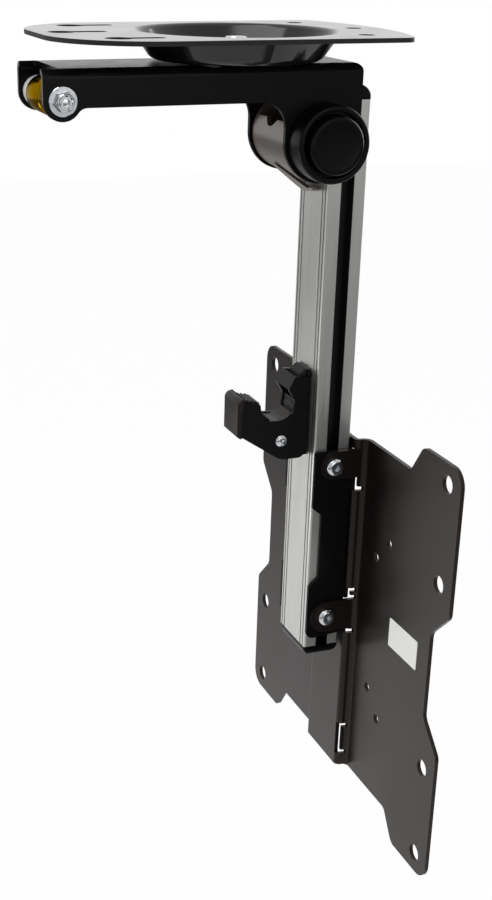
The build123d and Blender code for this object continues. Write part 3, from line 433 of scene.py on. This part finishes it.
# Catch on the mast's front: a folded steel base, and a lever of two laser cut side plates joined by a tilted
# web, in the arm's deep black. Its thumb grip is moulded nylon, worn satin, with rounded edges and ribs on top.
# A rubber buffer sits behind the web. The pivot is a small cross recessed screw with a nut and a spring.
catch_coat = powder_coat("catch_powder_coat", "#0e0e0f", "#151516", 0.12, 0.3, 0.8, 0.08)
grip_plastic = moulded("worn_black_nylon", "#181615", 0.2, 0.4, 0.6, 0.3, Specular_Tint=linear("#fff3ea"))
grey_rubber = moulded("dark_grey_rubber", "#1f1e1d", 0.25, 0.6, 0.7, 0.35)
plate_out = 0.0085
plate_thick = 0.0015
web_low = (0.0298, -0.1685)
web_high = (0.0332, -0.1619)
web_back = (0.0015, -0.0008)
lever_outline = [(0.0066, -0.1732), (0.0149, -0.1746), (0.0163, -0.1836), (0.0322, -0.1844), (0.0336, -0.1745),
                 web_low, web_high, (0.0403, -0.1628), (0.0403, -0.2048), (0.0267, -0.2048), (0.0056, -0.1911)]
corner_rounds = ((0, 0.0006), (1, 0.0012), (2, 0.0034), (3, 0.0048), (4, 0.0030), (7, 0.0012), (8, 0.0060),
                 (9, 0.0050))
lever = bmesh.new()
for side in (-1, 1):
    before = set(lever.verts)
    rim = [lever.verts.new((side * plate_out, y, z)) for y, z in lever_outline]
    lever.faces.new(rim)
    for corner, radius in corner_rounds:
        bmesh.ops.bevel(lever, geom=[rim[corner]], offset=radius, offset_type="WIDTH", segments=7, profile=0.5,
                        affect="VERTICES", material=-1)
    outline = [face for face in lever.faces if all(v not in before for v in face.verts)]
    pulled = bmesh.ops.extrude_face_region(lever, geom=outline)["geom"]
    bmesh.ops.translate(lever, verts=[v for v in pulled if isinstance(v, bmesh.types.BMVert)],
                        vec=(-side * plate_thick, 0, 0))
web_edge = plate_out - plate_thick
prism(lever, [(-web_edge, web_low[0], web_low[1]), (-web_edge, web_high[0], web_high[1]),
              (-web_edge, web_high[0] + web_back[0], web_high[1] + web_back[1]),
              (-web_edge, web_low[0] + web_back[0], web_low[1] + web_back[1])], (2 * web_edge, 0, 0))
make_piece("catch_lever_plates", lever, catch_coat, "catch_lever", "black_powder_coat", "catch_plates")

grip = merged_copy("catch_grip")
cap_back = 0.0066
bmesh.ops.bisect_plane(grip, geom=grip.verts[:] + grip.edges[:] + grip.faces[:], dist=cut_distance,
                       plane_co=(0, cap_back - 0.0008, 0), plane_no=(0, -1, 0), clear_outer=True)
cap = bmesh.new()
cap_half = 0.0093
cap_round = 0.0007
cap_outline = ((0.0026, -0.1735), (0.0040, -0.1716), (0.0064, -0.1710), (cap_back, -0.1716), (0.0056, -0.1916),
               (0.0044, -0.1916), (0.0026, -0.1902))
prism(cap, [(-cap_half, y, z) for y, z in cap_outline], (2 * cap_half, 0, 0))
bmesh.ops.recalc_face_normals(cap, faces=cap.faces)
bmesh.ops.bevel(cap, geom=[e for e in cap.edges if e.calc_face_angle() > radians(15)], offset=cap_round,
                segments=4, profile=0.5, affect="EDGES", material=-1)
cap_data = bpy.data.meshes.new("grip_cap")
cap.to_mesh(cap_data)
cap.free()
grip.from_mesh(cap_data)
rib_radius = 0.0008
rib_half = 0.0072
rib_taper = 0.0005
for rib_y, rib_z in ((0.0062, -0.1726), (0.0083, -0.1730), (0.0104, -0.1735), (0.0125, -0.1739)):
    turn(grip, [(-rib_half, 0.0), (-rib_half, rib_radius * 0.6), (-rib_half + rib_taper, rib_radius),
                (rib_half - rib_taper, rib_radius), (rib_half, rib_radius * 0.6), (rib_half, 0.0)],
         rib_y, rib_z, 16)
make_piece("catch_thumb_grip", grip, grip_plastic, "catch_lever", "black_plastic", "catch_grip")

pivot_y = 0.0267
pivot_z = -0.1947
pin_radius = 0.0020
pin_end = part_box("catch_pivot")[0][0]
head_radius = 0.0030
pivot = bmesh.new()
turn(pivot, [(pin_end, 0.0), (pin_end, pin_radius * 0.8), (pin_end + 0.0004, pin_radius),
             (plate_out, pin_radius), (plate_out, head_radius), (plate_out + 0.0006, head_radius),
             (plate_out + 0.0011, 0.0026),
             (plate_out + 0.0015, 0.0017), (plate_out + 0.0016, 0.0)], pivot_y, pivot_z, 48)
bmesh.ops.remove_doubles(pivot, verts=pivot.verts, dist=weld_distance)
bmesh.ops.recalc_face_normals(pivot, faces=pivot.faces)
recess = bmesh.new()
arm_long = 0.0019
arm_wide = 0.0005
recess_floor = 0.0004
cross_cos, cross_sin = 0.94, 0.34  # the cross stands turned by 20 degrees
cross = [(arm_wide, arm_long), (-arm_wide, arm_long), (-arm_wide, arm_wide), (-arm_long, arm_wide),
         (-arm_long, -arm_wide), (-arm_wide, -arm_wide), (-arm_wide, -arm_long), (arm_wide, -arm_long),
         (arm_wide, -arm_wide), (arm_long, -arm_wide), (arm_long, arm_wide), (arm_wide, arm_wide)]
prism(recess, [(plate_out + recess_floor, pivot_y + y * cross_cos - z * cross_sin,
                pivot_z + z * cross_cos + y * cross_sin) for y, z in cross], (0.002, 0, 0))
make_piece("catch_pivot_screw", carve(pivot, recess), bright_zinc, "catch_lever", "zinc_steel", "catch_pivot")
dress(catch_coat, "catch_base")
dress(grey_rubber, "catch_nose")
dress(bright_zinc, "catch_nut", "catch_spring", "catch_screws")

# Carriage: 1.5 mm steel channel that slides on the mast, held by four M5 button screws with slot nuts. It has
# the arm's deep black powder, so it stands out from the warmer screen plate.
dress(arm_coat, "carriage")
dress(bright_zinc, "carriage_screws", "carriage_nuts")

# Screen plate: 2 mm steel blanked with the screw holes and folded to a hat section, in a warmer, more open
# satin powder than the arm, so its wide wings look dark grey rather than black.
screen_coat = powder_coat("warm_satin_powder_coat", "#0f0d0c", "#161312", 0.3, 0.3, 1.3, 0.12,
                         Specular_Tint=linear("#ffeee4"))
dress(screen_coat, "screen_plate")

# Label: blank white paper sticker on the screen plate's wing, 0.15 mm thick with slightly rounded corners. The
# paper is matt with a faint grain, so it stays evenly white.
label_x = (0.057, 0.086)
label_z = (-0.2922, -0.2767)
label_thick = 0.00015
label_round = 0.0008
wing_face = 0.0693
sticker = bmesh.new()
bmesh.ops.create_cube(sticker, size=1.0)
bmesh.ops.scale(sticker, vec=(label_x[1] - label_x[0], label_thick, label_z[1] - label_z[0]),
                verts=sticker.verts)
bmesh.ops.translate(sticker, verts=sticker.verts,
                    vec=(sum(label_x) / 2, wing_face - label_thick / 2, sum(label_z) / 2))
upright = [e for e in sticker.edges if abs(e.verts[0].co.y - e.verts[1].co.y) > label_thick / 2]
bmesh.ops.bevel(sticker, geom=upright, offset=label_round, segments=4, profile=0.5, affect="EDGES", material=-1)
paper = moulded("label_paper", "#fbfbf9", 0.4, 0.55, 0.3, 0.1)
make_piece("blank_label", sticker, paper, "screen_carrier", "white_nylon")

# Floor: plain pale ground under the mount, which takes its soft shadow. The camera sees it nearly white. The
# metal sees its glow fall off with distance from the mount.
floor_drop = 0.35
floor_half = 4.0
floor_mesh = bmesh.new()
bmesh.ops.create_grid(floor_mesh, x_segments=1, y_segments=1, size=floor_half)
bmesh.ops.translate(floor_mesh, verts=floor_mesh.verts, vec=(0, 0, cad_box[0][2] - floor_drop))
floor_data = bpy.data.meshes.new("floor")
floor_mesh.to_mesh(floor_data)
floor_mesh.free()
floor = bpy.data.objects.new("floor", floor_data)
bpy.context.scene.collection.objects.link(floor)
ground = bpy.data.materials.new("pale_ground")
ground.use_nodes = True
ground.node_tree.nodes.clear()
matt = put(ground, "ShaderNodeBsdfDiffuse", {"Color": linear("#f4f4f4")})
glow = put(ground, "ShaderNodeEmission", {"Color": (1, 1, 1, 1), "Strength": 1.0})
path = put(ground, "ShaderNodeLightPath")
either = put(ground, "ShaderNodeMath",
             links={0: path.outputs["Is Camera Ray"], 1: path.outputs["Is Glossy Ray"]}, operation="MAXIMUM")
seen = put(ground, "ShaderNodeMath", links={0: either.outputs[0], 1: path.outputs["Is Transmission Ray"]},
           operation="MAXIMUM")
glow_share = 0.97
share = put(ground, "ShaderNodeMath", {1: glow_share}, {0: seen.outputs[0]}, operation="MULTIPLY")
spot = put(ground, "ShaderNodeTexCoord")
away = put(ground, "ShaderNodeVectorMath", links={0: spot.outputs["Object"]}, operation="LENGTH")
room = put(ground, "ShaderNodeMapRange", {"From Min": 0.95, "From Max": 2.0, "To Min": 1.0, "To Max": 0.22},
           {"Value": away.outputs["Value"]})
level = put(ground, "ShaderNodeMath", links={0: room.outputs["Result"], 1: path.outputs["Is Camera Ray"]},
            operation="MAXIMUM")
ground.node_tree.links.new(level.outputs[0], glow.inputs["Strength"])
mix = put(ground, "ShaderNodeMixShader", links={0: share.outputs[0], 1: matt.outputs[0], 2: glow.outputs[0]})
put(ground, "ShaderNodeOutputMaterial", links={"Surface": mix.outputs[0]})
floor_data.materials.append(ground)

# World: white where the camera looks at it, and a little under half that as light on the mount. What the metal
# mirrors of it dims towards +X.
world = bpy.data.worlds.new("studio")
bpy.context.scene.world = world
world.use_nodes = True
world.node_tree.nodes.clear()
sky_path = put(world, "ShaderNodeLightPath")
sky_either = put(world, "ShaderNodeMath",
                 links={0: sky_path.outputs["Is Camera Ray"], 1: sky_path.outputs["Is Glossy Ray"]},
                 operation="MAXIMUM")
sky_seen = put(world, "ShaderNodeMath",
               links={0: sky_either.outputs[0], 1: sky_path.outputs["Is Transmission Ray"]},
               operation="MAXIMUM")
dim = put(world, "ShaderNodeBackground", {"Color": (1, 1, 1, 1), "Strength": 0.45})
compass = put(world, "ShaderNodeTexCoord")
sky_across = put(world, "ShaderNodeSeparateXYZ", links={0: compass.outputs["Generated"]})
sky_room = put(world, "ShaderNodeMapRange", {"From Min": -0.1, "From Max": 0.8, "To Min": 1.0, "To Max": 0.65},
               {"Value": sky_across.outputs["X"]})
sky_level = put(world, "ShaderNodeMath",
                links={0: sky_room.outputs["Result"], 1: sky_path.outputs["Is Camera Ray"]},
                operation="MAXIMUM")
white = put(world, "ShaderNodeBackground", {"Color": (1, 1, 1, 1)}, {"Strength": sky_level.outputs[0]})
sky = put(world, "ShaderNodeMixShader", links={0: sky_seen.outputs[0], 1: dim.outputs[0], 2: white.outputs[0]})
put(world, "ShaderNodeOutputWorld", links={"Surface": sky.outputs[0]})


# Lamps: a broad key low on the arm's free side, which lights the lower parts most, a fill from the camera's
# side, one above and one behind.
def soft_box(name, place, aim, size, watts):
    lamp = bpy.data.lights.new(name, "AREA")
    lamp.shape = "RECTANGLE"
    lamp.size, lamp.size_y = size
    lamp.energy = watts
    holder = bpy.data.objects.new(name, lamp)
    holder.location = place
    holder.rotation_euler = (Vector(aim) - Vector(place)).to_track_quat("-Z", "Y").to_euler()
    bpy.context.scene.collection.objects.link(holder)


middle = (0, 0.02, -0.2)
soft_box("key", (-0.6, -0.9, -0.7), (0, 0.05, -0.34), (0.55, 0.55), 4)
soft_box("fill", (1.4, 0.1, 0.3), middle, (0.8, 1.0), 3)
soft_box("top", (0.1, -0.5, 1.2), middle, (0.9, 0.9), 8)
soft_box("back", (-0.3, 1.3, 0.2), middle, (0.9, 0.9), 9)

# Camera at the photograph's place: a long lens just above the ceiling plate's top, off the hinge cover's side,
# looking down. The shifts stand for the photograph's crop.
photo_wide = 492
focal_pixels = 1449.3
camera_data = bpy.data.cameras.new("photo_camera")
camera_data.sensor_fit = "HORIZONTAL"
camera_data.sensor_width = 36.0
camera_data.lens = focal_pixels / photo_wide * camera_data.sensor_width
camera_data.shift_x = 0.1468
camera_data.shift_y = 0.1671
camera = bpy.data.objects.new("photo_camera", camera_data)
camera.location = (0.6370, -0.2531, 0.0466)
camera.rotation_euler = (radians(66.954), radians(-0.686), radians(70.717))
bpy.context.scene.collection.objects.link(camera)
bpy.context.scene.camera = camera
bpy.context.scene.view_settings.view_transform = "Standard"
